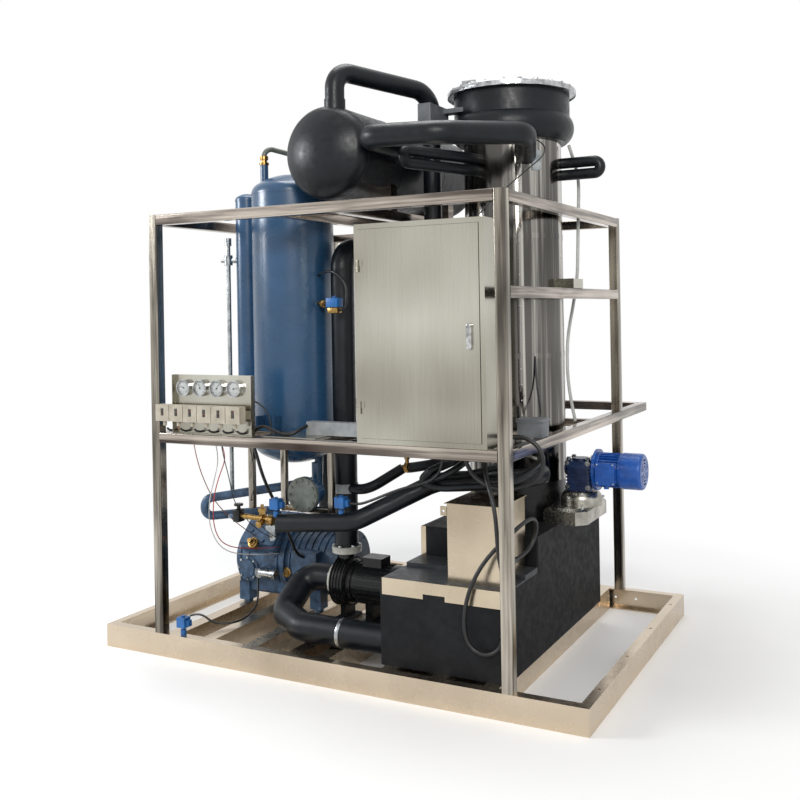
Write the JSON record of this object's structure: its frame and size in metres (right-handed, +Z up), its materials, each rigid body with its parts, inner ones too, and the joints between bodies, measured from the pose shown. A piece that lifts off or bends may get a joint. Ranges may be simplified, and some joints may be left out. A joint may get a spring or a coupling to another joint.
{
  "type": "tube ice machine",
  "caption": "Tube ice machine on a skid: stainless frame, upright clad evaporator with cutter and drive, blue receiver, compressor, insulated pipes, water tank and control cabinet.",
  "frame": {"origin": "middle of the skid's underside, on the floor", "axes": "+Z up, +X along the front towards the drive motor, +Y from the front to the rear"},
  "size_m": [2.505, 2.164, 2.8006],
  "materials": {
    "black_metal": "satin",
    "black_plastic": "matt",
    "bright_blue": "gloss",
    "cable_black": "satin",
    "chrome": "polished",
    "coil_blue": "satin",
    "cream_plastic": "satin",
    "grey_metal": "satin",
    "grey_plastic": "satin",
    "insulation": "matt",
    "skid_steel": "satin",
    "stainless_sheet": "satin",
    "stainless_tube": "satin",
    "vessel_blue": "satin",
    "white_plastic": "matt",
    "zinc": "satin"
  },
  "bodies": {
    "machine": {"accumulator": "insulation", "accumulator_saddles": "stainless_tube", "cabinet_body": "stainless_sheet", "cable_glands": "black_plastic", "cable_trunking": "grey_plastic", "chute_box": "stainless_sheet", "compressor_body": "vessel_blue", "compressor_valves": "zinc", "control_cables": "cable_black", "cooler_cover": "grey_metal", "cooler_shell": "vessel_blue", "cutter_housing": "black_metal", "deck_joists": "stainless_tube", "deck_rails": "stainless_tube", "deck_sheet": "stainless_sheet", "discharge_pipe": "vessel_blue", "drive_pedestal": "black_metal", "evaporator_brackets": "stainless_sheet", "evaporator_head": "insulation", "evaporator_shell": "stainless_sheet", "fan_cover": "bright_blue", "gauge_panel": "stainless_sheet", "gear_case": "stainless_sheet", "head_box": "grey_plastic", "head_cover": "stainless_sheet", "ice_hopper": "insulation", "level_pipe": "stainless_tube", "liquid_line": "insulation", "liquid_receiver": "vessel_blue", "motor_frame": "bright_blue", "oil_separator": "vessel_blue", "outlet_pipe": "insulation", "pipe_hangers": "stainless_tube", "posts": "stainless_tube", "power_cable": "cable_black", "pressure_gauges": "chrome", "pressure_switches": "cream_plastic", "pump_baseplate": "skid_steel", "pump_casing": "black_metal", "pump_motor": "black_metal", "pump_rings": "white_plastic", "relief_line": "grey_metal", "return_bends": "insulation", "riser_pipe": "insulation", "skid_beams": "skid_steel", "skid_rails": "skid_steel", "solenoid_valves": "coil_blue", "suction_pipe": "insulation", "tank_lids": "insulation", "tank_trim": "stainless_sheet", "terminal_box": "bright_blue", "top_rails": "stainless_tube", "water_pipe": "insulation", "water_tank": "insulation", "worm_gearbox": "black_metal"},
    "door": {"cabinet_door": "stainless_sheet"},
    "handle": {"door_handle": "chrome"},
    "cutter": {"cutter_rotor": "stainless_sheet"},
    "fan": {"motor_fan": "black_metal"}
  },
  "joints": [
    {"name": "door_hinge", "type": "hinge", "parent": "machine", "child": "door", "pos_m": [0.25375, -0.819, 1.55], "axis": [0, 0, -1], "range_deg": [0, 110]},
    {"name": "handle_turn", "type": "hinge", "parent": "door", "child": "handle", "pos_m": [0.7755, -0.814, 1.57], "axis": [0, 1, 0], "range_deg": [0, 90]},
    {"name": "cutter_spin", "type": "hinge", "parent": "machine", "child": "cutter", "pos_m": [0.605, 0.09, 0.7], "axis": [0, 0, 1], "continuous": true},
    {"name": "fan_spin", "type": "hinge", "parent": "machine", "child": "fan", "pos_m": [1.18, 0.04, 0.883], "axis": [1, 0, 0], "continuous": true}
  ],
  "couplings": [
    {"joint": "fan_spin", "follows": "cutter_spin", "ratio": 20}
  ]
}
